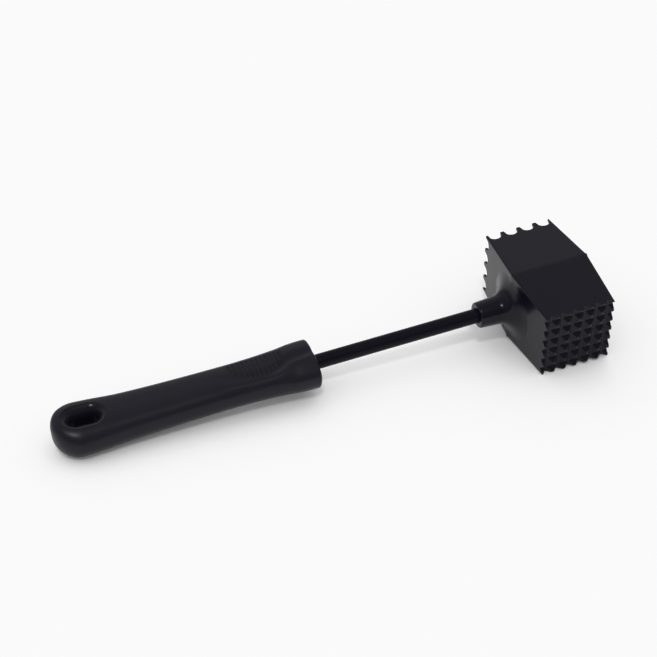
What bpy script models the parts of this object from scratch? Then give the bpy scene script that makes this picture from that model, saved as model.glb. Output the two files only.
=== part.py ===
"""Meat mallet: a cast head with a fine and a coarse toothed face, a steel shank and a moulded handle.

The mallet is modelled along its own X axis: the head's centre is the zero point, the head faces
-Y (fine teeth) and +Y (coarse teeth), and the handle runs towards -X. Every piece is parented to
one empty, which tips the mallet onto the table as it lies at rest, on one lower edge of the head
and on the tail of the handle.
"""

import math

import bmesh
import bpy
from mathutils import Matrix, Vector

# ---- Driving dimensions, in metres ----

CLEARANCE = 0.0003          # gap between two pieces that touch

# Head: two truncated pyramids that share their widest section, the belt at Y = 0.
BELT_HALF = 0.0258          # half the side of the square belt
FINE_REACH = 0.0420         # belt to the tips of the fine teeth
FINE_HALF = 0.0228          # half the side of the fine face
FINE_TEETH = 7              # teeth along each side of the fine face
FINE_DEPTH = 0.0027
FINE_TIP = 0.0014           # width left flat on a tooth's tip
COARSE_REACH = 0.0431       # the same five dimensions for the coarse face
COARSE_HALF = 0.0223
COARSE_TEETH = 5
COARSE_DEPTH = 0.0057
COARSE_TIP = 0.0030
HEAD_EDGE = 0.0004          # bevel of the head's long edges

# Boss: the flared socket on the head's -X side, which takes the shank.
BOSS_END_X = -0.0482
BOSS_END_RADIUS = 0.0082
BOSS_ROOT_RADIUS = 0.0089
BOSS_LIP = 0.0006           # rounding at the end of the boss
FLARE_LENGTH = 0.0100       # along the shank
FLARE_SPREAD = 0.0150       # away from the shank
SOCKET_END_X = -0.0060

# Shank: one steel rod with a threaded end in the head and flattened wings in the handle.
SHANK_RADIUS = 0.0046
SHANK_HEAD_END_X = -0.0080
SHANK_TAIL_END_X = -0.2700
SHANK_CHAMFER = 0.0008
THREAD_START_X = -0.0360
THREAD_PITCH = 0.0025
THREAD_DEPTH = 0.0008
WING_START_X = -0.2600
WING_END_X = -0.2300
WING_HALF_WIDTH = 0.0068
WING_HALF_HEIGHT = 0.0032

# Handle: stations along X with half width, height of the top and depth of the belly.
NECK_X = -0.1562
TAIL_X = -0.3172
HANDLE_STATIONS = (
    (-0.1500, 0.0159, 0.0104, 0.0140),
    (-0.1660, 0.0157, 0.0107, 0.0136),
    (-0.1780, 0.0145, 0.0101, 0.0128),
    (-0.1950, 0.0136, 0.0097, 0.0118),
    (-0.2150, 0.0134, 0.0097, 0.0114),
    (-0.2500, 0.0140, 0.0100, 0.0116),
    (-0.2750, 0.0150, 0.0105, 0.0120),
    (-0.2920, 0.0163, 0.0115, 0.0124),
    (-0.3040, 0.0169, 0.0121, 0.0125),
    (-0.3200, 0.0169, 0.0121, 0.0125),
)
WIDEST_Z = 0.0010           # height of the handle's widest line
TOP_SQUARENESS = 3.0        # superellipse exponents: a flat top and a round belly
BELLY_SQUARENESS = 2.3
TAIL_PLAN_RADIUS = 0.0166   # round end seen from above
TAIL_TOP_RADIUS = 0.0065    # round end seen from the side, above and below the widest line
TAIL_BELLY_RADIUS = 0.0130
NECK_EDGE_RADIUS = 0.0016
AROUND = 36                 # points around the handle

# Hanging slot and the ring that lines it.
SLOT_CENTRE_X = -0.2973
SLOT_LENGTH = 0.0172
SLOT_WIDTH = 0.0088
RIM_WIDTH = 0.0048
RIM_TOP_Z = 0.0115
RIM_BOTTOM_Z = -0.0108

# Thumb pad: a ribbed inlay with a straight far side and a bowed near side.
PAD_CENTRE_X = -0.1915
PAD_HALF_LENGTH = 0.0180
PAD_STRAIGHT_Y = 0.0088
PAD_BOW = 0.0160
PAD_THICKNESS = 0.0016
RIB_COUNT = 11
RIB_PITCH = 0.0029
RIB_DEPTH = 0.0006
RIB_GROOVE = 0.0013

MATERIALS = {
    "head_coating": ((0.020, 0.020, 0.022), 0.35, 0.0),
    "shank_coating": ((0.012, 0.012, 0.014), 0.40, 0.0),
    "grip_plastic": ((0.022, 0.022, 0.025), 0.55, 0.0),
    "rim_plastic": ((0.015, 0.015, 0.017), 0.25, 0.0),
    "pad_rubber": ((0.020, 0.020, 0.023), 0.65, 0.0),
}


# ---- Scene and object helpers ----


def clear_scene():
    for old in list(bpy.data.objects):
        bpy.data.objects.remove(old, do_unlink=True)


def new_collection(name):
    made = bpy.data.collections.new(name)
    bpy.context.scene.collection.children.link(made)
    return made


def material(name):
    colour, roughness, metallic = MATERIALS[name]
    made = bpy.data.materials.new(name)
    made.use_nodes = True
    shader = made.node_tree.nodes["Principled BSDF"]
    shader.inputs["Base Color"].default_value = (*colour, 1.0)
    shader.inputs["Roughness"].default_value = roughness
    shader.inputs["Metallic"].default_value = metallic
    made.diffuse_color = (*colour, 1.0)
    return made


def mesh_object(name, mesh, collection):
    made = bpy.data.objects.new(name, mesh)
    collection.objects.link(made)
    return made


def cutter_object(name, mesh):
    made = mesh_object(name, mesh, cutters)
    made.hide_render = True
    made.display_type = "WIRE"
    return made


def from_bmesh(name, bm):
    mesh = bpy.data.meshes.new(name)
    bm.to_mesh(mesh)
    bm.free()
    return mesh


def skin(name, rings, looped=False):
    """A closed mesh over a row of rings of equal count: with flat ends, or looped into a ring."""
    bm = bmesh.new()
    rows = [[bm.verts.new(point) for point in ring] for ring in rings]
    count = len(rings[0])
    following_rows = rows[1:] + rows[:1] if looped else rows[1:]
    for row, following in zip(rows, following_rows):
        for i in range(count):
            j = (i + 1) % count
            bm.faces.new((row[i], row[j], following[j], following[i]))
    if not looped:
        bm.faces.new(rows[0])
        bm.faces.new(rows[-1])
    bmesh.ops.recalc_face_normals(bm, faces=bm.faces)
    return from_bmesh(name, bm)


def prism(name, outline, low, high):
    """An upright prism between two heights over an outline of (x, y) points."""
    return skin(name, [[(x, y, z) for x, y in outline] for z in (low, high)])


def bar(name, low, high):
    """A box between two corners."""
    low, high = Vector(low), Vector(high)
    bm = bmesh.new()
    bmesh.ops.create_cube(bm, size=1.0)
    bmesh.ops.scale(bm, vec=high - low, verts=bm.verts)
    bmesh.ops.translate(bm, vec=(low + high) / 2, verts=bm.verts)
    return from_bmesh(name, bm)


def boolean(target, operand, operation):
    modifier = target.modifiers.new(operation.lower(), "BOOLEAN")
    modifier.object = operand
    modifier.operation = operation
    modifier.solver = "EXACT"


def settle(target):
    """Replaces the object's mesh by the result of its modifiers."""
    graph = bpy.context.evaluated_depsgraph_get()
    result = bpy.data.meshes.new_from_object(target.evaluated_get(graph))
    target.modifiers.clear()
    target.data = result


def finish(target, slot, sharp_degrees=35):
    settle(target)
    target.data.materials.clear()
    target.data.materials.append(material(slot))
    target.data.shade_smooth()
    target.data.set_sharp_from_angle(angle=math.radians(sharp_degrees))
    target.parent = pose


# ---- Curves shared by several pieces ----


def station(x):
    """Half width, top height and belly depth of the handle at X, eased between its stations."""
    for (x1, *here), (x2, *there) in zip(HANDLE_STATIONS, HANDLE_STATIONS[1:]):
        if x >= x2:
            part = min(max((x1 - x) / (x1 - x2), 0.0), 1.0)
            ease = part * part * (3 - 2 * part)
            return [a + (b - a) * ease for a, b in zip(here, there)]
    return list(HANDLE_STATIONS[-1][1:])


def quarter_round(distance, radius):
    """How far an edge of this radius has risen at a distance in from its start, from 0 to radius."""
    part = min(distance / radius, 1.0)
    return radius * math.sqrt(max(1 - (1 - part) ** 2, 0.0))


def signed_power(value, power):
    return math.copysign(abs(value) ** power, value)


def handle_section(x, inset):
    """One ring of the handle's surface at X, moved inwards by the inset."""
    half_width, top, belly = station(x)
    from_tail = max(x - TAIL_X - inset, 0.0)
    from_neck = max(NECK_X - inset - x, 0.0)
    edge = NECK_EDGE_RADIUS - quarter_round(from_neck, NECK_EDGE_RADIUS) + inset
    half_width = half_width * quarter_round(from_tail, TAIL_PLAN_RADIUS) / TAIL_PLAN_RADIUS - edge
    top -= WIDEST_Z + TAIL_TOP_RADIUS - quarter_round(from_tail, TAIL_TOP_RADIUS) + edge
    belly += WIDEST_Z - TAIL_BELLY_RADIUS + quarter_round(from_tail, TAIL_BELLY_RADIUS) - edge
    ring = []
    for i in range(AROUND):
        angle = 2 * math.pi * (i + 0.5) / AROUND
        squareness = TOP_SQUARENESS if math.sin(angle) > 0 else BELLY_SQUARENESS
        height = top if math.sin(angle) > 0 else belly
        y = half_width * signed_power(math.cos(angle), 2 / squareness)
        z = height * signed_power(math.sin(angle), 2 / squareness)
        ring.append((x, y, WIDEST_Z + z))
    return ring


def handle_surface(name, inset=0.0):
    """The handle's whole outer form, moved inwards by the inset."""
    start, end = TAIL_X + inset, NECK_X - inset
    tail_part = [start + TAIL_PLAN_RADIUS * (1 - math.cos(math.radians(a))) for a in range(8, 90, 10)]
    body_steps = 20
    body_start = start + TAIL_PLAN_RADIUS
    body_end = end - NECK_EDGE_RADIUS
    body_part = [body_start + (body_end - body_start) * i / body_steps for i in range(body_steps + 1)]
    neck_part = [end - NECK_EDGE_RADIUS * (1 - math.sin(math.radians(a))) for a in (30, 60, 90)]
    return skin(name, [handle_section(x, inset) for x in tail_part + body_part + neck_part])


def obround(length, width, centre_x=0.0, steps=10):
    """An outline with two straight sides and two round ends, as (x, y) points."""
    radius = width / 2
    points = []
    for side in (1, -1):
        for i in range(steps + 1):
            angle = math.pi * (i / steps - 0.5) if side == 1 else math.pi * (i / steps + 0.5)
            x = centre_x + side * (length / 2 - radius) + radius * math.cos(angle)
            points.append((x, radius * math.sin(angle)))
    return points


def pad_outline(spread=0.0, steps=16):
    """The thumb pad seen from above: a bow on the near side, closed by a straight far side."""
    points = []
    for i in range(steps + 1):
        angle = math.pi + math.pi * i / steps
        x = PAD_CENTRE_X + (PAD_HALF_LENGTH + spread) * math.cos(angle)
        y = PAD_STRAIGHT_Y + (PAD_BOW + spread) * math.sin(angle) + (spread if i in (0, steps) else 0)
        points.append((x, y))
    return points


# ---- Head ----


def head_block():
    """The double frustum, before its teeth are cut."""
    bm = bmesh.new()
    bmesh.ops.create_cube(bm, size=2.0)
    everything = bm.verts[:] + bm.edges[:] + bm.faces[:]
    bmesh.ops.bisect_plane(bm, geom=everything, plane_co=(0, 0, 0), plane_no=(0, 1, 0))
    for vert in bm.verts:
        if abs(vert.co.y) < 0.5:
            vert.co = (vert.co.x * BELT_HALF, 0.0, vert.co.z * BELT_HALF)
        elif vert.co.y < 0:
            vert.co = (vert.co.x * FINE_HALF, -FINE_REACH, vert.co.z * FINE_HALF)
        else:
            vert.co = (vert.co.x * COARSE_HALF, COARSE_REACH, vert.co.z * COARSE_HALF)
    return from_bmesh("head_block", bm)


def groove_outline(width, depth, kind):
    """Half of a groove's section as (offset, depth) pairs, from its edge to its lowest point."""
    if kind == "round":
        radius = (width * width / 4 + depth * depth) / (2 * depth)
        reach = math.asin(min(width / 2 / radius, 1.0))
        angles = [reach * (1 - i / 5) for i in range(6)]
        return [(radius * math.sin(a), depth - radius * (1 - math.cos(a))) for a in angles]
    flat = 0.12 * width
    return [(width / 2, 0.0), (flat, 0.9 * depth), (0.0, depth)]


def groove_cutter(name, width, depth, kind, tip_y, outward, centre, along_x):
    """A bar with the groove's section, laid across one toothed face."""
    half = groove_outline(width, depth, kind)
    section = half + [(-offset, drop) for offset, drop in reversed(half[:-1])]
    above = 0.002
    section = [(half[0][0], -above)] + section + [(-half[0][0], -above)]
    reach = BELT_HALF + 0.002
    rings = []
    for end in (-reach, reach):
        ring = []
        for offset, drop in section:
            y = tip_y - outward * drop
            ring.append((end, y, centre + offset) if along_x else (centre + offset, y, end))
        rings.append(ring)
    return cutter_object(name, skin(name, rings))


def cut_teeth(head, label, half, reach, outward, teeth, tip, depth, kind):
    """Crossed rows of grooves, which leave a square grid of teeth flush with the head's sides."""
    pitch = 2 * half / (teeth - 1)
    tip_y = outward * reach
    for row in range(teeth - 1):
        centre = -half + pitch * (row + 0.5)
        for along_x in (True, False):
            name = f"{label}_groove_{'x' if along_x else 'z'}_{row}"
            cutter = groove_cutter(name, pitch - tip, depth, kind, tip_y, outward, centre, along_x)
            boolean(head, cutter, "DIFFERENCE")


def boss_profile():
    """Radius and X of the boss from its end lip to where its flare runs into the head."""
    points = []
    for degrees in (0, 45, 90):
        angle = math.radians(degrees)
        radius = BOSS_END_RADIUS - BOSS_LIP * (1 - math.sin(angle))
        points.append((radius, BOSS_END_X + BOSS_LIP * (1 - math.cos(angle))))
    flare_base = -BELT_HALF + 0.0002
    for i in range(9):
        angle = math.radians(90 * i / 8)
        radius = BOSS_ROOT_RADIUS + FLARE_SPREAD * (1 - math.cos(angle))
        points.append((radius, flare_base - FLARE_LENGTH * (1 - math.sin(angle))))
    points.append((BOSS_ROOT_RADIUS + FLARE_SPREAD, flare_base + 0.004))
    return points


def boss_mesh():
    """The boss as a turned form, with its flare sheared back onto the head's two sloping flanks."""
    bm = bmesh.new()
    rows = [(0.0, BOSS_END_X)] + boss_profile()
    rows.append((0.0, rows[-1][1]))
    chain = [bm.verts.new((radius, 0, -x)) for radius, x in rows]
    for start, end in zip(chain, chain[1:]):
        bm.edges.new((start, end))
    turned = mesh_object("boss_profile", from_bmesh("boss_profile", bm), cutters)
    screw = turned.modifiers.new("turn", "SCREW")
    screw.axis = "Z"
    screw.steps = screw.render_steps = 40
    screw.use_merge_vertices = True
    screw.merge_threshold = 0.00001
    screw.use_normal_calculate = True
    settle(turned)
    mesh = turned.data
    bpy.data.objects.remove(turned)
    # Local Z points towards the handle.
    mesh.transform(Matrix(((0, 0, -1), (0, 1, 0), (1, 0, 0))).to_4x4())
    for vert in mesh.vertices:
        radius = math.hypot(vert.co.y, vert.co.z)
        part = min(max((radius - BOSS_ROOT_RADIUS) / FLARE_SPREAD, 0.0), 1.0)
        half, reach = (FINE_HALF, FINE_REACH) if vert.co.y < 0 else (COARSE_HALF, COARSE_REACH)
        slope = (BELT_HALF - half) / reach
        vert.co.x += abs(vert.co.y) * slope * part
    return mesh


def make_head():
    head = mesh_object("mallet_head", head_block(), parts)
    bevel = head.modifiers.new("edges", "BEVEL")
    bevel.width = HEAD_EDGE
    bevel.segments = 2
    bevel.limit_method = "ANGLE"
    bevel.angle_limit = math.radians(40)
    settle(head)
    boolean(head, cutter_object("boss", boss_mesh()), "UNION")
    socket_ends = (BOSS_END_X - 0.001, SOCKET_END_X)
    socket = skin("socket", [round_ring(x, SHANK_RADIUS + CLEARANCE) for x in socket_ends])
    boolean(head, cutter_object("socket", socket), "DIFFERENCE")
    coarse = (COARSE_HALF, COARSE_REACH, 1, COARSE_TEETH, COARSE_TIP, COARSE_DEPTH)
    fine = (FINE_HALF, FINE_REACH, -1, FINE_TEETH, FINE_TIP, FINE_DEPTH)
    cut_teeth(head, "coarse", *coarse, "round")
    cut_teeth(head, "fine", *fine, "vee")
    finish(head, "head_coating")


# ---- Shank ----


def round_ring(x, radius, count=24):
    angles = [math.tau * i / count for i in range(count)]
    return [(x, radius * math.cos(angle), radius * math.sin(angle)) for angle in angles]


def wing_size(x):
    """Half width and half height of the shank, which is pressed flat between the wing's ends."""
    ramp = 0.004
    part = min(max(min(x - WING_START_X, WING_END_X - x) / ramp, 0.0), 1.0)
    ease = part * part * (3 - 2 * part)
    wide = SHANK_RADIUS + (WING_HALF_WIDTH - SHANK_RADIUS) * ease
    high = SHANK_RADIUS + (WING_HALF_HEIGHT - SHANK_RADIUS) * ease
    return wide, high


def shank_ring(x, spread, count, threaded):
    """One ring of the shank; its thread is a ridge that climbs one pitch in each turn."""
    wide, high = wing_size(x)
    ring = []
    for i in range(count):
        angle = math.tau * i / count
        drop = 0.0
        if threaded:
            turn = ((x - THREAD_START_X) / THREAD_PITCH - i / count) % 1.0
            drop = THREAD_DEPTH * (1 - abs(2 * turn - 1))
        y = (wide + spread - drop) * math.cos(angle)
        z = (high + spread - drop) * math.sin(angle)
        ring.append((x, y, z))
    return ring


def wing_stations():
    first = [WING_START_X + 0.001 * i for i in range(5)]
    last = [WING_END_X - 0.001 * i for i in range(5)]
    return first + last[::-1]


def make_shank():
    count = 16
    rings = [
        shank_ring(SHANK_TAIL_END_X, -SHANK_CHAMFER, count, False),
        shank_ring(SHANK_TAIL_END_X + SHANK_CHAMFER, 0.0, count, False),
    ]
    rings += [shank_ring(x, 0.0, count, False) for x in wing_stations()]
    rings.append(shank_ring(THREAD_START_X - 0.0004, 0.0, count, False))
    thread_rows = int(4 * (SHANK_HEAD_END_X - SHANK_CHAMFER - THREAD_START_X) / THREAD_PITCH)
    for i in range(thread_rows + 1):
        rings.append(shank_ring(THREAD_START_X + THREAD_PITCH * i / 4, 0.0, count, True))
    rings.append(shank_ring(SHANK_HEAD_END_X, -SHANK_CHAMFER, count, False))
    shank = mesh_object("shank_rod", skin("shank_rod", rings), parts)
    finish(shank, "shank_coating")


# ---- Handle, rim and thumb pad ----


def tang_cutter():
    """The space that the moulded handle leaves for the shank and its wings."""
    xs = [SHANK_TAIL_END_X - CLEARANCE] + wing_stations() + [NECK_X + 0.002]
    rings = [shank_ring(x, CLEARANCE, 16, False) for x in xs]
    return cutter_object("tang_space", skin("tang_space", rings))


def make_handle():
    handle = mesh_object("handle_grip", handle_surface("handle_grip"), parts)
    length = SLOT_LENGTH + 2 * (RIM_WIDTH + CLEARANCE)
    width = SLOT_WIDTH + 2 * (RIM_WIDTH + CLEARANCE)
    slot = prism("slot_space", obround(length, width, SLOT_CENTRE_X), -0.02, 0.02)
    boolean(handle, cutter_object("slot_space", slot), "DIFFERENCE")
    boolean(handle, tang_cutter(), "DIFFERENCE")
    bed = cutter_object("pad_bed", prism("pad_bed", pad_outline(CLEARANCE), 0.0, 0.02))
    under = cutter_object("under_pad", handle_surface("under_pad", PAD_THICKNESS + CLEARANCE))
    boolean(bed, under, "DIFFERENCE")
    settle(bed)
    boolean(handle, bed, "DIFFERENCE")
    finish(handle, "grip_plastic")


def make_rim():
    """The lining of the hanging slot: a ring whose mouth opens out in a round at both ends."""
    mouth = RIM_WIDTH - 0.0006
    curve = [math.radians(22.5 * step) for step in range(5)]
    opening = [(mouth * (1 - math.cos(angle)), mouth * (1 - math.sin(angle))) for angle in curve]
    opening.append((RIM_WIDTH, 0.0))
    section = [(offset, RIM_TOP_Z - drop) for offset, drop in opening]
    section += [(offset, RIM_BOTTOM_Z + drop) for offset, drop in reversed(opening)]
    rings = []
    for offset, z in section:
        outline = obround(SLOT_LENGTH + 2 * offset, SLOT_WIDTH + 2 * offset, SLOT_CENTRE_X)
        rings.append([(x, y, z) for x, y in outline])
    rim = mesh_object("hang_slot_rim", skin("hang_slot_rim", rings, looped=True), parts)
    finish(rim, "rim_plastic")


def make_pad():
    pad = mesh_object("thumb_pad", prism("thumb_pad", pad_outline(), 0.0, 0.02), parts)
    boolean(pad, cutter_object("pad_top", handle_surface("pad_top")), "INTERSECT")
    boolean(pad, cutter_object("pad_floor", handle_surface("pad_floor", PAD_THICKNESS)), "DIFFERENCE")
    below_grooves = cutter_object("below_grooves", handle_surface("below_grooves", RIB_DEPTH))
    for i in range(RIB_COUNT - 1):
        centre = PAD_CENTRE_X + RIB_PITCH * (i + 1 - RIB_COUNT / 2)
        name = f"rib_groove_{i}"
        low = (centre - RIB_GROOVE / 2, -0.02, 0.0)
        high = (centre + RIB_GROOVE / 2, 0.02, 0.02)
        groove = cutter_object(name, bar(name, low, high))
        boolean(groove, below_grooves, "DIFFERENCE")
        settle(groove)
        boolean(pad, groove, "DIFFERENCE")
    finish(pad, "pad_rubber")


# ---- Resting pose ----


def lying_matrix(pieces):
    """Turns the mallet onto a table: it tips about the head's lower edge until the tail touches."""
    belt_corner = Vector((-BELT_HALF, 0, -BELT_HALF))
    face_corner = Vector((-FINE_HALF, -FINE_REACH, -FINE_HALF))
    edge = (face_corner - belt_corner).normalized()
    outward = (Vector((-1, 0, 0)) + edge * edge.x).normalized()
    upward = outward.cross(edge).normalized()
    upward *= math.copysign(1, upward.z)
    lowest = min(
        math.atan2((vert.co - belt_corner).dot(upward), (vert.co - belt_corner).dot(outward))
        for piece in pieces
        for vert in piece.data.vertices
        if vert.co.x < NECK_X
    )
    table_outward = outward * math.cos(lowest) + upward * math.sin(lowest)
    table_up = table_outward.cross(edge).normalized()
    table_up *= math.copysign(1, table_up.z)
    along = (Vector((1, 0, 0)) - table_up * table_up.x).normalized()
    across = table_up.cross(along)
    turn = Matrix((along, across, table_up))
    corners = [turn @ vert.co for piece in pieces for vert in piece.data.vertices]
    middle_x = (min(c.x for c in corners) + max(c.x for c in corners)) / 2
    middle_y = (min(c.y for c in corners) + max(c.y for c in corners)) / 2
    floor_z = min(c.z for c in corners)
    return Matrix.Translation((-middle_x, -middle_y, -floor_z)) @ turn.to_4x4()


clear_scene()
parts = new_collection("meat_mallet")
cutters = new_collection("cutters")
pose = bpy.data.objects.new("lying_on_table", None)
parts.objects.link(pose)

make_head()
make_shank()
make_handle()
make_rim()
make_pad()
pose.matrix_world = lying_matrix([piece for piece in parts.objects if piece.type == "MESH"])
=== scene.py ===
"""Looks for the meat mallet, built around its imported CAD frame.

Each piece is made along the mallet's own X axis, with the head's centre as the zero point, the fine
teeth facing -Y and the handle running towards -X. lying_matrix() then lays it on the table as the
frame has it.
"""

import math

import bmesh
import bpy
from mathutils import Matrix, Vector


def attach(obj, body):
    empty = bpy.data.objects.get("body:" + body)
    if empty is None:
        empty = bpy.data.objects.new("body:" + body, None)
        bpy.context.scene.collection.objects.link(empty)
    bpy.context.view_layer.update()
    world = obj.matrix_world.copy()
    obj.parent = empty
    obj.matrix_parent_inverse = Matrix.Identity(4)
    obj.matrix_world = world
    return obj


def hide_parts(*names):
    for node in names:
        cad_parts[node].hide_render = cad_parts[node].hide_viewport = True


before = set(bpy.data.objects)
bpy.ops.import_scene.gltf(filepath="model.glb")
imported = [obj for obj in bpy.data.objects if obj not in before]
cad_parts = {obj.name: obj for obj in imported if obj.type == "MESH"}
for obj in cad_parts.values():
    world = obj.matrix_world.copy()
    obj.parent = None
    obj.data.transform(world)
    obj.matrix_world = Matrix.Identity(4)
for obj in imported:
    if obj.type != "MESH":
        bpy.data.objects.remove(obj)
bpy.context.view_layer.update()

# ---- Driving dimensions, in metres ----

HEAD_CENTRE = Vector((0.14497, -0.00053, 0.02700))
TIP_ALONG = math.radians(2.895)     # the tail lies lower than the head
TIP_ACROSS = math.radians(4.287)    # the fine half's lower flank lies flat

BELT_HALF = 0.0258
FINE = {"half": 0.0228, "reach": 0.0420, "teeth": 7, "depth": 0.0027, "tip": 0.0018, "side": -1}
COARSE = {"half": 0.0223, "reach": 0.0431, "teeth": 5, "depth": 0.0057, "tip": 0.0030, "side": 1}
FACE_STEPS = 120                    # mesh steps across each toothed face
EDGE_EASE = 0.0003                  # how far each tooth's edges are eased
CORNER_RADIUS = 0.0009
BELT_ROUNDING = 0.0016
BELT_BEAD = 0.0003                  # the parting line stands this far out

BOSS_END_X = -0.0482
BOSS_END_RADIUS = 0.0082
BOSS_ROOT_RADIUS = 0.0089
BOSS_LIP = 0.0012
FLARE_LENGTH = 0.0100
FLARE_SPREAD = 0.0150
FLARE_SINK = 0.0002                 # the flare's outer edge lies this far under the flank
FLARE_FOOT = 0.0040                 # and goes on this far into the head
SOCKET_RADIUS = 0.0049
SOCKET_END_X = -0.0060

SHANK_RADIUS = 0.0046
SHANK_HEAD_END_X = -0.0080
SHANK_TAIL_END_X = -0.2700
SHANK_CHAMFER = 0.0008
WING_START_X = -0.2600
WING_END_X = -0.2300
WING_RAMP = 0.0040                  # how far the round rod takes to become flat
WING_HALF_WIDTH = 0.0068
WING_HALF_HEIGHT = 0.0032

NECK_X = -0.1562
TAIL_X = -0.3172
HANDLE_STATIONS = (
    (-0.1500, 0.0159, 0.0104, 0.0140),
    (-0.1660, 0.0157, 0.0107, 0.0136),
    (-0.1780, 0.0145, 0.0101, 0.0128),
    (-0.1950, 0.0136, 0.0097, 0.0118),
    (-0.2150, 0.0134, 0.0097, 0.0114),
    (-0.2500, 0.0140, 0.0100, 0.0116),
    (-0.2750, 0.0150, 0.0105, 0.0120),
    (-0.2920, 0.0163, 0.0115, 0.0124),
    (-0.3040, 0.0169, 0.0121, 0.0125),
    (-0.3200, 0.0169, 0.0121, 0.0125),
)
WIDEST_Z = 0.0010
TOP_SQUARENESS = 3.0
NEAR_SQUARENESS = 2.5               # the near half of the top is rounder, most of all at the tail
TAIL_ROUNDING = 0.35
TAIL_ROUNDING_X = -0.300            # from here on towards the neck the tail's own shape fades
TAIL_ROUNDING_FADE = 0.030
BELLY_SQUARENESS = 2.3
TAIL_PLAN_RADIUS = 0.0166
TAIL_TOP_RADIUS = 0.0065
TAIL_BELLY_RADIUS = 0.0130
NECK_EDGE_RADIUS = 0.0016

# The thumb ridge: (X, Y) along the crest of the S that runs past the pad and over to the neck.
RIDGE = (
    (-0.2220, -0.0040),
    (-0.2138, -0.0068),
    (-0.2060, -0.0088),
    (-0.1990, -0.0099),
    (-0.1920, -0.0103),
    (-0.1838, -0.0104),
    (-0.1779, -0.0086),
    (-0.1729, -0.0058),
    (-0.1695, -0.0047),
    (-0.1665, -0.0045),
    (-0.1630, -0.0044),
    (-0.1560, -0.0043),
)
RIDGE_FADE = 0.022                  # the ridge rises over this length from its tail end
RIDGE_RUNOUT = 0.004                # and runs out over this height above the widest line
RIDGE_DROP = 0.0014
RIDGE_WIDTH = 0.0085
VALLEY_OFFSET = 0.0048              # from the crest back to the lowest line of the dip
VALLEY_WIDTH = 0.0048
VALLEY_DEPTH = 0.0016
VALLEY_SWELL = (-0.192, 0.014)      # from this X, and over this length, the dip gets its full depth
VALLEY_EASE = (-0.166, 0.010)       # and here it gets shallow again

SLOT_CENTRE_X = -0.2973
SLOT_LENGTH = 0.0172
SLOT_WIDTH = 0.0088
RIM_WIDTH = 0.0048
RIM_TOP_Z = 0.0115
RIM_BOTTOM_Z = -0.0108
LIP_SLOPE = 0.35                    # the lip starts with this slope at its outer edge
FAR_LIP = 0.8                       # how much deeper the lip reaches on the far side
FAR_LIP_SPAN = 0.009

PAD_CENTRE_X = -0.1915
PAD_HALF_LENGTH = 0.0180
PAD_STRAIGHT_Y = 0.0088
PAD_BOW = 0.0160
PAD_THICKNESS = 0.0016
RIB_PITCH = 0.0029
RIB_DEPTH = 0.0009
RIB_END_FADE = 0.0012               # the ribs fade out this close to the pad's long edges
PAD_TIP_FADE = 0.0040               # and where the pad is narrower than this
GAP = 0.0003
SEAM = 0.0001                       # the visible joint around the pad and the slot's lining
CUT_ACCURACY = 0.000005
CUTTER_REACH = 0.0200               # cutters reach this far above and below the middle
CUTTER_PAST = 0.0010                # and this far past the end that they open

FLOOR_HALF = 4.0
FLOOR_Z = -0.0002                   # just under the piece that touches it

# Light levels of the room that the glossy surfaces mirror.
ROOM_LIGHT = 0.48
BACK_LIGHT = 0.216
OVERHEAD_DIM = 0.15
HORIZON_DIM = 0.25


# ---- Helpers ----


def lying_matrix():
    a, b = math.sin(TIP_ALONG), math.sin(TIP_ACROSS)
    up = Vector((a, b, math.sqrt(1 - a * a - b * b)))
    along = (Vector((1, 0, 0)) - up * up.x).normalized()
    turn = Matrix((along, up.cross(along), up))
    return Matrix.Translation(HEAD_CENTRE) @ turn.to_4x4()


LYING = lying_matrix()


def add_object(name, mesh):
    made = bpy.data.objects.new(name, mesh)
    bpy.context.scene.collection.objects.link(made)
    return made


def mesh_from(name, verts, faces):
    mesh = bpy.data.meshes.new(name)
    mesh.from_pydata([tuple(v) for v in verts], [], faces)
    bm = bmesh.new()
    bm.from_mesh(mesh)
    bmesh.ops.remove_doubles(bm, verts=bm.verts, dist=1e-7)
    bmesh.ops.recalc_face_normals(bm, faces=bm.faces)
    bm.to_mesh(mesh)
    bm.free()
    return mesh


def skin(name, rings, looped=False):
    """A closed mesh over a row of rings of equal count: with flat ends, or looped into a ring."""
    count = len(rings[0])
    verts = [point for ring in rings for point in ring]
    faces = []
    last = len(rings) if looped else len(rings) - 1
    for r in range(last):
        here, there = r * count, (r + 1) % len(rings) * count
        for i in range(count):
            j = (i + 1) % count
            faces.append((here + i, here + j, there + j, there + i))
    if not looped:
        faces.append(tuple(range(count)))
        faces.append(tuple(range(len(verts) - count, len(verts))))
    return mesh_from(name, verts, faces)


def settle(target):
    """Replaces the object's mesh by the result of its modifiers."""
    graph = bpy.context.evaluated_depsgraph_get()
    result = bpy.data.meshes.new_from_object(target.evaluated_get(graph), depsgraph=graph)
    target.modifiers.clear()
    target.data = result


def combine(target, operands, operation):
    """Applies each operand to the target as an exact Boolean, and removes it."""
    for mesh in operands:
        tool = add_object("tool", mesh)
        modifier = target.modifiers.new("cut", "BOOLEAN")
        modifier.operation = operation
        modifier.solver = "EXACT"
        modifier.object = tool
        bpy.context.view_layer.update()
        settle(target)
        bpy.data.objects.remove(tool)
    drop_slivers(target.data)


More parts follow.
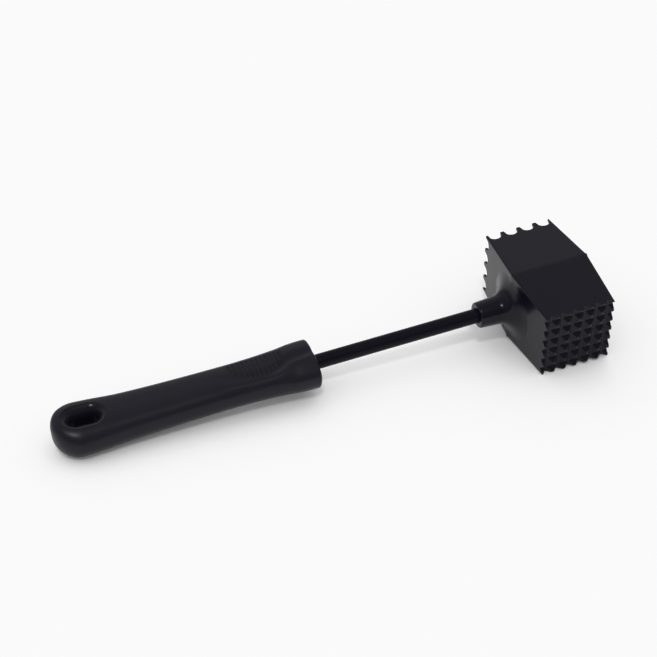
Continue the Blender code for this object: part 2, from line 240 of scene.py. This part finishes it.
def drop_slivers(mesh):
    """Merges points that the cuts left too close together, and takes out points in mid-edge."""
    bm = bmesh.new()
    bm.from_mesh(mesh)
    bmesh.ops.remove_doubles(bm, verts=bm.verts, dist=CUT_ACCURACY)
    bmesh.ops.dissolve_degenerate(bm, edges=bm.edges, dist=CUT_ACCURACY)
    bmesh.ops.dissolve_verts(bm, verts=[vert for vert in bm.verts if len(vert.link_edges) == 2])
    bmesh.ops.triangulate(bm, faces=[face for face in bm.faces if len(face.verts) > 4])
    bmesh.ops.dissolve_degenerate(bm, edges=bm.edges, dist=CUT_ACCURACY)
    bm.to_mesh(mesh)
    bm.free()


def finish_piece(piece, node, material, sharp=35):
    """Shades the piece, lays it on the table and lets it stand for its CAD node."""
    piece.data.materials.clear()
    piece.data.materials.append(material)
    piece.data.shade_smooth()
    piece.data.set_sharp_from_angle(angle=math.radians(sharp))
    weighted = piece.modifiers.new("even_shading", "WEIGHTED_NORMAL")
    weighted.keep_sharp = True
    weighted.weight = 80
    piece.data.transform(LYING)
    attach(piece, "root")
    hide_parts(node)


def smooth_step(value):
    part = min(max(value, 0.0), 1.0)
    return part * part * (3 - 2 * part)


def curve_at(points, x):
    """The row of values at X on a smooth curve through (x, value, ...) points in falling or rising X."""
    points = sorted(points)
    xs = [p[0] for p in points]
    x = min(max(x, xs[0]), xs[-1])
    i = min(max(sum(1 for value in xs if value <= x) - 1, 0), len(xs) - 2)
    span = xs[i + 1] - xs[i]
    t = (x - xs[i]) / span
    row = []
    for k in range(1, len(points[0])):
        def slope(j):
            lo, hi = max(j - 1, 0), min(j + 1, len(xs) - 1)
            return (points[hi][k] - points[lo][k]) / (xs[hi] - xs[lo])
        a, b = points[i][k], points[i + 1][k]
        m0, m1 = slope(i) * span, slope(i + 1) * span
        row.append(
            (2 * t**3 - 3 * t**2 + 1) * a + (t**3 - 2 * t**2 + t) * m0
            + (3 * t**2 - 2 * t**3) * b + (t**3 - t**2) * m1
        )
    return row


def quarter_round(distance, radius):
    """How far an edge of this radius has risen at a distance in from its start, from 0 to radius."""
    part = min(distance / radius, 1.0)
    return radius * math.sqrt(max(1 - (1 - part) ** 2, 0.0))


def round_ring(x, wide, high, count):
    angles = [math.tau * (i + 0.5) / count for i in range(count)]
    return [(x, wide * math.cos(angle), high * math.sin(angle)) for angle in angles]


def obround(length, width, centre_x, z, steps=24):
    radius = width / 2
    points = []
    for side in (1, -1):
        for i in range(steps + 1):
            angle = math.pi * (i / steps - 0.5) + (0 if side == 1 else math.pi)
            x = centre_x + side * (length / 2 - radius) + radius * math.cos(angle)
            points.append((x, radius * math.sin(angle), z))
    return points


# ---- Materials ----


def node_material(name, base, roughness, ior, grain, grain_depth, speckle, mottle):
    """A dark finish with a fine moulded or sprayed grain and uneven gloss.

    grain is the grain's scale in features per metre, grain_depth its height in metres, speckle how
    far single grains brighten the colour and mottle how far the gloss drifts over the surface.
    """
    made = bpy.data.materials.new(name)
    made.use_nodes = True
    nodes, links = made.node_tree.nodes, made.node_tree.links
    shader = nodes["Principled BSDF"]
    shader.inputs["IOR"].default_value = ior
    place = nodes.new("ShaderNodeTexCoord").outputs["Object"]

    def noise(scale, detail):
        texture = nodes.new("ShaderNodeTexNoise")
        texture.inputs["Scale"].default_value = scale
        texture.inputs["Detail"].default_value = detail
        links.new(place, texture.inputs["Vector"])
        return texture.outputs["Fac"]

    def spread(value, low, high):
        remap = nodes.new("ShaderNodeMapRange")
        remap.inputs["From Min"].default_value = 0.3
        remap.inputs["From Max"].default_value = 0.7
        remap.inputs["To Min"].default_value = low
        remap.inputs["To Max"].default_value = high
        links.new(value, remap.inputs["Value"])
        return remap.outputs["Result"]

    fine, broad = noise(grain, 3.0), noise(60.0, 4.0)
    ramp = nodes.new("ShaderNodeMix")
    ramp.data_type = "RGBA"
    dark = [channel * (1 - speckle) for channel in base]
    light = [channel * (1 + speckle) for channel in base]
    ramp.inputs["A"].default_value = (*dark, 1.0)
    ramp.inputs["B"].default_value = (*light, 1.0)
    links.new(spread(fine, 0.0, 1.0), ramp.inputs["Factor"])
    links.new(ramp.outputs["Result"], shader.inputs["Base Color"])
    links.new(spread(broad, roughness - mottle, roughness + mottle), shader.inputs["Roughness"])
    bump = nodes.new("ShaderNodeBump")
    bump.inputs["Strength"].default_value = 1.0
    bump.inputs["Distance"].default_value = grain_depth
    links.new(fine, bump.inputs["Height"])
    links.new(bump.outputs["Normal"], shader.inputs["Normal"])
    return made


# ---- Head ----


def groove(offset, width, depth, kind):
    """Depth of a groove at an offset from its middle, with its edges eased."""
    def plain(u):
        part = abs(u) / (width / 2)
        if part >= 1:
            return 0.0
        if kind == "round":
            radius = (width * width / 4 + depth * depth) / (2 * depth)
            return depth - radius + math.sqrt(radius * radius - u * u)
        rounding = 0.22
        lowest, highest = rounding, math.hypot(1, rounding)
        return depth * (1 - (math.hypot(part, rounding) - lowest) / (highest - lowest))
    return sum(plain(offset + k * EDGE_EASE) for k in (-1, 0, 1)) / 3


def tooth_drop(u, v, face, kind):
    """How far below the tips the toothed face lies at (u, v) on it."""
    pitch = 2 * face["half"] / (face["teeth"] - 1)
    width = pitch - face["tip"]
    drops = []
    for value in (u, v):
        from_middle = (value + face["half"]) % pitch - pitch / 2
        drops.append(groove(from_middle, width, face["depth"], kind))
    a, b = drops
    return (a + b + math.hypot(a - b, EDGE_EASE) - EDGE_EASE) / 2


def rounded_square(u, v, radius):
    """Moves a point of the unit square so that the square's corners get a radius."""
    a, b = abs(u) - (1 - radius), abs(v) - (1 - radius)
    if a > 0 and b > 0:
        scale = max(a, b) / math.hypot(a, b)
        u = math.copysign(1 - radius + a * scale, u)
        v = math.copysign(1 - radius + b * scale, v)
    return u, v


def head_mesh():
    """The double frustum with its two toothed faces, as one closed mesh."""
    n = FACE_STEPS
    verts, faces = [], []
    borders = []
    for face, kind in ((FINE, "vee"), (COARSE, "round")):
        start = len(verts)
        slope = (BELT_HALF - face["half"]) / face["reach"]
        for i in range(n + 1):
            for j in range(n + 1):
                u, v = 2 * i / n - 1, 2 * j / n - 1
                drop = tooth_drop(u * face["half"], v * face["half"], face, kind)
                half = face["half"] + slope * drop
                x, z = rounded_square(u, v, CORNER_RADIUS / half)
                verts.append((x * half, face["side"] * (face["reach"] - drop), z * half))
        for i in range(n):
            for j in range(n):
                a = start + i * (n + 1) + j
                faces.append((a, a + 1, a + n + 2, a + n + 1))
        ring = [(i, 0) for i in range(n)] + [(n, j) for j in range(n)]
        ring += [(i, n) for i in range(n, 0, -1)] + [(0, j) for j in range(n, 0, -1)]
        borders.append([start + i * (n + 1) + j for i, j in ring])
    rings = [borders[0]]
    for y, bead in ((-BELT_ROUNDING, 0.0), (0.0, BELT_BEAD), (BELT_ROUNDING, 0.0)):
        face = FINE if y < 0 else COARSE
        half = BELT_HALF - abs(y) * (BELT_HALF - face["half"]) / face["reach"] + bead
        first = len(verts)
        for i, j in ring:
            x, z = rounded_square(2 * i / n - 1, 2 * j / n - 1, CORNER_RADIUS / half)
            verts.append((x * half, y, z * half))
        rings.append(list(range(first, first + len(ring))))
    rings.append(borders[1])
    for here, there in zip(rings, rings[1:]):
        for i in range(len(here)):
            j = (i + 1) % len(here)
            faces.append((here[i], here[j], there[j], there[i]))
    return mesh_from("head", verts, faces)


def boss_mesh():
    """The boss and its flare, sheared back onto the head's two sloping flanks."""
    rows = []
    for degrees in (0, 22.5, 45, 67.5, 90):
        angle = math.radians(degrees)
        radius = BOSS_END_RADIUS - BOSS_LIP * (1 - math.sin(angle))
        rows.append((radius, BOSS_END_X + BOSS_LIP * (1 - math.cos(angle))))
    flare_base = -BELT_HALF + FLARE_SINK
    for i in range(25):
        angle = math.radians(90 * i / 24)
        radius = BOSS_ROOT_RADIUS + FLARE_SPREAD * (1 - math.cos(angle))
        rows.append((radius, flare_base - FLARE_LENGTH * (1 - math.sin(angle))))
    rows.append((BOSS_ROOT_RADIUS + FLARE_SPREAD, flare_base + FLARE_FOOT))
    rings = []
    for radius, x in rows:
        part = min(max((radius - BOSS_ROOT_RADIUS) / FLARE_SPREAD, 0.0), 1.0)
        ring = []
        for _, y, z in round_ring(0.0, radius, radius, 96):
            face = FINE if y < 0 else COARSE
            slope = (BELT_HALF - face["half"]) / face["reach"]
            ring.append((x + abs(y) * slope * part, y, z))
        rings.append(ring)
    return skin("boss", rings)


def make_head(material):
    head = add_object("cast_head", head_mesh())
    combine(head, [boss_mesh()], "UNION")
    socket_ends = (BOSS_END_X - CUTTER_PAST, SOCKET_END_X)
    socket = [round_ring(x, SOCKET_RADIUS, SOCKET_RADIUS, 48) for x in socket_ends]
    combine(head, [skin("socket", socket)], "DIFFERENCE")
    finish_piece(head, "mallet_head", material)


# ---- Shank ----


def shank_ring(x, spread=0.0):
    """A ring round the rod, which is pressed flat into wings where the handle must not turn on it."""
    flat = smooth_step(min(x - WING_START_X, WING_END_X - x) / WING_RAMP)
    wide = SHANK_RADIUS + (WING_HALF_WIDTH - SHANK_RADIUS) * flat
    high = SHANK_RADIUS + (WING_HALF_HEIGHT - SHANK_RADIUS) * flat
    return round_ring(x, wide + spread, high + spread, 64)


def wing_stations():
    ramps = (WING_START_X, WING_END_X - WING_RAMP)
    return [start + WING_RAMP * i / 4 for start in ramps for i in range(5)]


def make_shank(material):
    rings = [shank_ring(SHANK_TAIL_END_X, -SHANK_CHAMFER), shank_ring(SHANK_TAIL_END_X + SHANK_CHAMFER)]
    rings += [shank_ring(x) for x in wing_stations()]
    rings += [shank_ring(SHANK_HEAD_END_X - SHANK_CHAMFER), shank_ring(SHANK_HEAD_END_X, -SHANK_CHAMFER)]
    shank = add_object("steel_shank", skin("shank", rings))
    finish_piece(shank, "shank_rod", material)


# ---- Handle ----


def ridge_drop(x, y):
    """How far the top lies below its plain section in front of the thumb ridge and in the dip behind it."""
    before = curve_at(RIDGE, x)[0] - y
    fade = smooth_step((x - RIDGE[0][0]) / RIDGE_FADE)
    valley = smooth_step(1 - abs(before + VALLEY_OFFSET) / VALLEY_WIDTH)
    swell, ease = [smooth_step((x - start) / length) for start, length in (VALLEY_SWELL, VALLEY_EASE)]
    deep = 0.4 + 0.6 * swell - 0.5 * ease
    return fade * (RIDGE_DROP * smooth_step(before / RIDGE_WIDTH) + VALLEY_DEPTH * deep * valley)


def section_sizes(x):
    """Half width, and the heights of the top and the belly from the widest line, at X."""
    half_width, top, belly = curve_at(HANDLE_STATIONS, x)
    from_tail = max(x - TAIL_X, 0.0)
    from_neck = max(NECK_X - x, 0.0)
    edge = NECK_EDGE_RADIUS - quarter_round(from_neck, NECK_EDGE_RADIUS)
    half_width = half_width * quarter_round(from_tail, TAIL_PLAN_RADIUS) / TAIL_PLAN_RADIUS - edge
    top -= WIDEST_Z + TAIL_TOP_RADIUS - quarter_round(from_tail, TAIL_TOP_RADIUS) + edge
    belly += WIDEST_Z - TAIL_BELLY_RADIUS + quarter_round(from_tail, TAIL_BELLY_RADIUS) - edge
    return half_width, top, belly


def height_on(part, height, squareness):
    return height * max(1 - abs(part) ** squareness, 0.0) ** (1 / squareness)


def top_at(x, y):
    """Height of the handle's top surface at (x, y)."""
    half_width, top, _ = section_sizes(x)
    tail = TAIL_ROUNDING * (1 - smooth_step((x - TAIL_ROUNDING_X) / TAIL_ROUNDING_FADE))
    squareness = NEAR_SQUARENESS - tail if y < 0 else TOP_SQUARENESS + tail
    rise = height_on(min(abs(y) / half_width, 1.0), top, squareness)
    return WIDEST_Z + rise - ridge_drop(x, y) * min(rise / RIDGE_RUNOUT, 1.0)


def handle_ring(x, steps=64):
    half_width, _, belly = section_sizes(x)
    ring = []
    for i in range(steps + 1):
        y = -half_width * math.cos(math.pi * i / steps)
        ring.append((x, y, top_at(x, y)))
    for i in range(1, steps):
        part = math.cos(math.pi * i / steps)
        ring.append((x, half_width * part, WIDEST_Z - height_on(part, belly, BELLY_SQUARENESS)))
    return ring


def handle_mesh():
    tail = [TAIL_X + TAIL_PLAN_RADIUS * (1 - math.cos(math.radians(a))) for a in range(3, 90, 4)]
    start, end = TAIL_X + TAIL_PLAN_RADIUS, NECK_X - NECK_EDGE_RADIUS
    count = 150
    body = [start + (end - start) * i / count for i in range(count + 1)]
    neck = [end + NECK_EDGE_RADIUS * math.sin(math.radians(a)) for a in (15, 30, 45, 60, 75, 90)]
    return skin("handle", [handle_ring(x) for x in tail + body + neck])


def pad_edge_y(x, spread=0.0):
    part = min(abs(x - PAD_CENTRE_X) / (PAD_HALF_LENGTH + spread), 1.0)
    return PAD_STRAIGHT_Y - (PAD_BOW + spread) * math.sqrt(1 - part * part)


def pad_bed():
    """The space for the thumb pad: a lens-shaped prism whose floor follows the handle's top."""
    steps, across = 48, 16
    half = PAD_HALF_LENGTH + SEAM
    rings = []
    for i in range(steps + 1):
        x = PAD_CENTRE_X - half * math.cos(math.pi * (i + 0.15) / (steps + 0.3))
        near, far = pad_edge_y(x, SEAM), PAD_STRAIGHT_Y + SEAM
        ys = [near + (far - near) * j / across for j in range(across + 1)]
        floor = [(x, y, top_at(x, y) - PAD_THICKNESS - GAP) for y in ys]
        rings.append(floor + [(x, far, CUTTER_REACH), (x, near, CUTTER_REACH)])
    return skin("pad_bed", rings)


def make_handle(material):
    handle = add_object("moulded_grip", handle_mesh())
    spread = 2 * (RIM_WIDTH + SEAM)
    length, width = SLOT_LENGTH + spread, SLOT_WIDTH + spread
    slot = [obround(length, width, SLOT_CENTRE_X, z) for z in (-CUTTER_REACH, CUTTER_REACH)]
    shank_xs = [SHANK_TAIL_END_X - GAP, *wing_stations(), NECK_X + CUTTER_PAST]
    shank_space = [shank_ring(x, GAP) for x in shank_xs]
    combine(handle, [skin("slot", slot), skin("shank_space", shank_space), pad_bed()], "DIFFERENCE")
    finish_piece(handle, "handle_grip", material, sharp=30)


def make_rim(material):
    """The lining of the hanging slot: a ring that rounds over from the grip's top into the slot."""
    curve = [math.radians(90 * step / 14) for step in range(15)]
    opening = [(RIM_WIDTH * (1 - math.cos(angle)), RIM_WIDTH * (1 - math.sin(angle))) for angle in curve]
    rings = []
    for offset, drop in opening:
        outline = obround(SLOT_LENGTH + 2 * offset, SLOT_WIDTH + 2 * offset, SLOT_CENTRE_X, 0.0)
        ring = []
        for x, y, _ in outline:
            deeper = 1.0 + FAR_LIP * smooth_step(0.5 + y / FAR_LIP_SPAN)
            sunk = LIP_SLOPE * (RIM_WIDTH - offset) + (1 - LIP_SLOPE) * drop * deeper
            ring.append((x, y, min(top_at(x, y), RIM_TOP_Z) - sunk))
        rings.append(ring)
    for offset, drop in reversed(opening):
        length, width = SLOT_LENGTH + 2 * offset, SLOT_WIDTH + 2 * offset
        rings.append(obround(length, width, SLOT_CENTRE_X, RIM_BOTTOM_Z + drop))
    rim = add_object("slot_lining", skin("rim", rings, looped=True))
    finish_piece(rim, "hang_slot_rim", material)


def make_pad(material):
    """The ribbed inlay, a closed slab whose ribs run across the handle."""
    steps, across = 144, 40
    rings = []
    for i in range(steps + 1):
        x = PAD_CENTRE_X - PAD_HALF_LENGTH * math.cos(math.pi * (i + 0.3) / (steps + 0.6))
        near, far = pad_edge_y(x), PAD_STRAIGHT_Y
        ys = [near + (far - near) * j / across for j in range(across + 1)]
        phase = (x - PAD_CENTRE_X) / RIB_PITCH
        rib = 0.5 - 0.5 * math.cos(math.tau * phase)
        border = min(1.0, (far - near) / PAD_TIP_FADE)
        top = []
        for y in ys:
            inside = smooth_step(min(y - near, far - y) / RIB_END_FADE)
            top.append((x, y, top_at(x, y) - RIB_DEPTH * rib * inside * border))
        floor = [(x, y, top_at(x, y) - PAD_THICKNESS) for y in reversed(ys)]
        rings.append(top + floor)
    pad = add_object("ribbed_pad", skin("pad", rings))
    finish_piece(pad, "thumb_pad", material, sharp=50)


# ---- Stage, light and camera ----


def make_stage():
    corners = [(FLOOR_HALF * x, FLOOR_HALF * y, 0) for x, y in ((-1, -1), (1, -1), (1, 1), (-1, 1))]
    floor = add_object("floor", mesh_from("floor", corners, [(0, 1, 2, 3)]))
    floor.location.z = FLOOR_Z
    paint = bpy.data.materials.new("pale_table")
    paint.use_nodes = True
    shader = paint.node_tree.nodes["Principled BSDF"]
    shader.inputs["Base Color"].default_value = (0.95, 0.95, 0.95, 1.0)
    shader.inputs["Roughness"].default_value = 0.9
    shader.inputs["Specular IOR Level"].default_value = 0.1
    floor.data.materials.append(paint)


def make_backdrop():
    """A dim room, darker overhead and behind the camera; the camera itself sees a pale backdrop."""
    world = bpy.data.worlds.new("studio")
    bpy.context.scene.world = world
    world.use_nodes = True
    nodes, links = world.node_tree.nodes, world.node_tree.links
    backdrop = nodes["Background"]
    backdrop.inputs["Color"].default_value = (1.0, 1.0, 1.0, 1.0)

    def combined(operation, first, second):
        node = nodes.new("ShaderNodeMath")
        node.operation = operation
        for socket, value in zip(node.inputs, (first, second)):
            if isinstance(value, float):
                socket.default_value = value
            else:
                links.new(value, socket)
        return node.outputs["Value"]

    axes = nodes.new("ShaderNodeSeparateXYZ")
    links.new(nodes.new("ShaderNodeTexCoord").outputs["Generated"], axes.inputs["Vector"])
    across = combined("MULTIPLY", axes.outputs["Y"], BACK_LIGHT)
    height = combined("MULTIPLY", axes.outputs["Z"], -OVERHEAD_DIM)
    level = combined("ADD", combined("ADD", across, height), ROOM_LIGHT)
    horizon = nodes.new("ShaderNodeMapRange")
    for name, value in zip(("From Min", "From Max", "To Min", "To Max"), (0.0, 0.4, HORIZON_DIM, 1.0)):
        horizon.inputs[name].default_value = value
    links.new(axes.outputs["Z"], horizon.inputs["Value"])
    level = combined("MULTIPLY", level, horizon.outputs["Result"])
    seen = nodes.new("ShaderNodeLightPath").outputs["Is Camera Ray"]
    links.new(combined("MAXIMUM", level, seen), backdrop.inputs["Strength"])


def add_lamp(name, direction, energy, spread):
    light = bpy.data.lights.new(name, "SUN")
    light.energy = energy
    light.angle = math.radians(spread)
    lamp = add_object(name, light)
    lamp.rotation_euler = Vector(direction).to_track_quat("Z", "Y").to_euler()
    return lamp


def make_light():
    make_backdrop()
    front = (-0.22, -0.49, 1.0)
    add_lamp("front_lamp", front, 0.50, 8).visible_glossy = False
    add_lamp("front_glint", front, 0.90, 11).visible_diffuse = False
    add_lamp("broad_fill", (0.0, 0.0, 1.0), 1.7, 150).visible_glossy = False


def make_camera():
    camera = bpy.data.cameras.new("camera")
    camera.sensor_width = 36.0
    camera.lens = 87.58
    camera.clip_start = 0.01
    holder = add_object("camera", camera)
    holder.matrix_world = Matrix((
        (0.9310, 0.2247, -0.2877, -0.2740),
        (-0.3650, 0.5764, -0.7311, -0.6934),
        (0.0016, 0.7857, 0.6186, 0.6288),
        (0.0, 0.0, 0.0, 1.0),
    ))
    bpy.context.scene.camera = holder


def set_tone():
    """Plain tones, with soft shadows on the pale table held light."""
    view = bpy.context.scene.view_settings
    view.view_transform = "Standard"
    view.use_curve_mapping = True
    mapping = view.curve_mapping
    mapping.clip_max_x = 4.0
    mapping.clip_max_y = 4.0
    curve = mapping.curves[3]
    curve.points[0].location = (0.0, 0.0)
    curve.points[1].location = (1.4, 0.965)
    for x, y in ((0.45, 0.45), (0.70, 0.76), (0.93, 0.94)):
        curve.points.new(x, y)
    mapping.update()


make_head(node_material(
    "black_head_coating", (0.0040, 0.0035, 0.0090), roughness=0.25, ior=1.33,
    grain=1400, grain_depth=0.00001, speckle=0.12, mottle=0.03,
))
make_shank(node_material(
    "black_shank_coating", (0.0050, 0.0045, 0.0095), roughness=0.34, ior=1.20,
    grain=1800, grain_depth=0.00001, speckle=0.10, mottle=0.04,
))
make_handle(node_material(
    "black_grip_plastic", (0.0122, 0.0117, 0.0182), roughness=0.32, ior=1.27,
    grain=2200, grain_depth=0.00002, speckle=0.10, mottle=0.03,
))
make_rim(node_material(
    "black_rim_plastic", (0.0085, 0.0080, 0.0135), roughness=0.22, ior=1.32,
    grain=1200, grain_depth=0.000004, speckle=0.06, mottle=0.03,
))
make_pad(node_material(
    "black_pad_rubber", (0.0110, 0.0105, 0.0165), roughness=0.38, ior=1.30,
    grain=2600, grain_depth=0.00002, speckle=0.12, mottle=0.03,
))
make_stage()
make_light()
make_camera()
set_tone()
